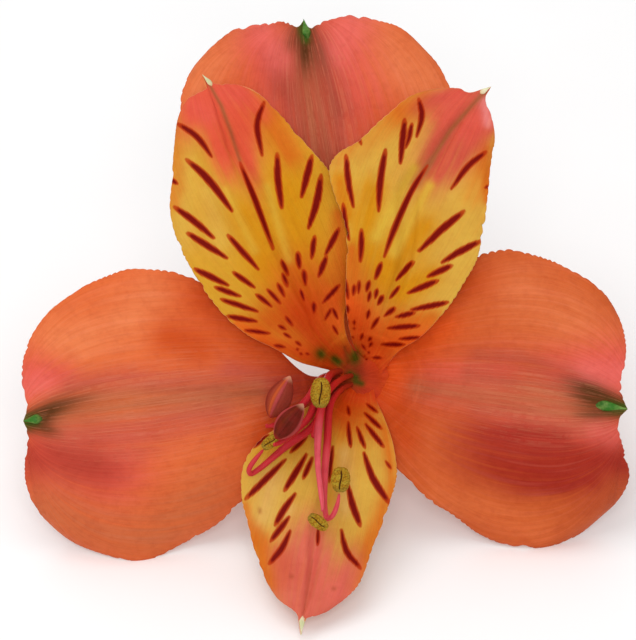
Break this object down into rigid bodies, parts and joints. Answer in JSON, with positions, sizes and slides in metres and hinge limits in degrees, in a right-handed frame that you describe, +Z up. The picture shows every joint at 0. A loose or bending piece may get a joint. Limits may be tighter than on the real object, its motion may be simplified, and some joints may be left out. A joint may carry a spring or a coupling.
{
  "type": "peruvian lily bloom",
  "caption": "Single open orange Peruvian lily bloom with broad outer tepals, streaked yellow inner tepals, curved stamens, a ribbed ovary and a short cut stalk.",
  "frame": {"origin": "middle of the bounding box in plan, on the surface the bloom rests on", "axes": "+Z up; +X to the right across the face of the bloom; -Y the way the face of the bloom looks, tilted up by 38.2 degrees"},
  "size_m": [0.0702, 0.051, 0.0531],
  "materials": {
    "outer_petal": "satin",
    "inner_petal_upper": "satin",
    "inner_petal_lower": "satin",
    "ovary": "satin",
    "stalk": "satin",
    "filament": "satin",
    "style": "satin",
    "anther_open": "matte",
    "anther_closed": "satin"
  },
  "bodies": {
    "root": {"outer_tepal_top": "outer_petal", "outer_tepal_left": "outer_petal", "outer_tepal_right": "outer_petal", "inner_tepal_upper_left": "inner_petal_upper", "inner_tepal_upper_right": "inner_petal_upper", "inner_tepal_lower": "inner_petal_lower", "ovary": "ovary", "pedicel": "stalk", "style": "style", "filament_1": "filament", "filament_2": "filament", "filament_3": "filament", "filament_4": "filament", "filament_5": "filament", "filament_6": "filament", "anther_1": "anther_open", "anther_2": "anther_open", "anther_3": "anther_open", "anther_4": "anther_closed", "anther_5": "anther_closed", "anther_6": "anther_open"}
  },
  "joints": []
}
